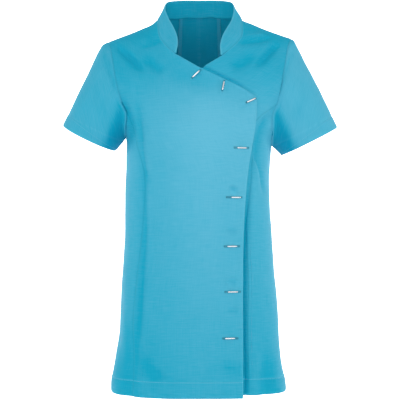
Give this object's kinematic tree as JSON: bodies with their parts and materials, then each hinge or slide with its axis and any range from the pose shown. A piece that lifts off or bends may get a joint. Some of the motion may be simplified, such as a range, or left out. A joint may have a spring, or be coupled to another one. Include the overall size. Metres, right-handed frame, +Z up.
{
  "type": "beautician tunic",
  "caption": "Turquoise short-sleeved salon tunic with a stand collar, an asymmetric wrap front, princess seams and slim bar buttons, filled out as worn.",
  "frame": {"origin": "middle of the body at the height where the collar meets the shoulders, where the wearer's neck and shoulders hold the tunic", "axes": "+Z up, from hem to collar; the front faces -Y; the wearer's right is at -X"},
  "size_m": [0.5446, 0.2671, 0.7822],
  "materials": {
    "cloth": "matt plain-weave poly-cotton with a faint sheen",
    "bars": "polished silver"
  },
  "bodies": {
    "root": {"right_front_centre": "cloth", "right_front_side": "cloth", "left_front_centre": "cloth", "left_front_side": "cloth", "back_centre": "cloth", "back_side_right": "cloth", "back_side_left": "cloth", "sleeve_right": "cloth", "sleeve_left": "cloth", "collar": "cloth", "button_1": "bars", "button_2": "bars", "button_3": "bars", "button_4": "bars", "button_5": "bars", "button_6": "bars", "button_7": "bars", "button_8": "bars"}
  },
  "joints": []
}
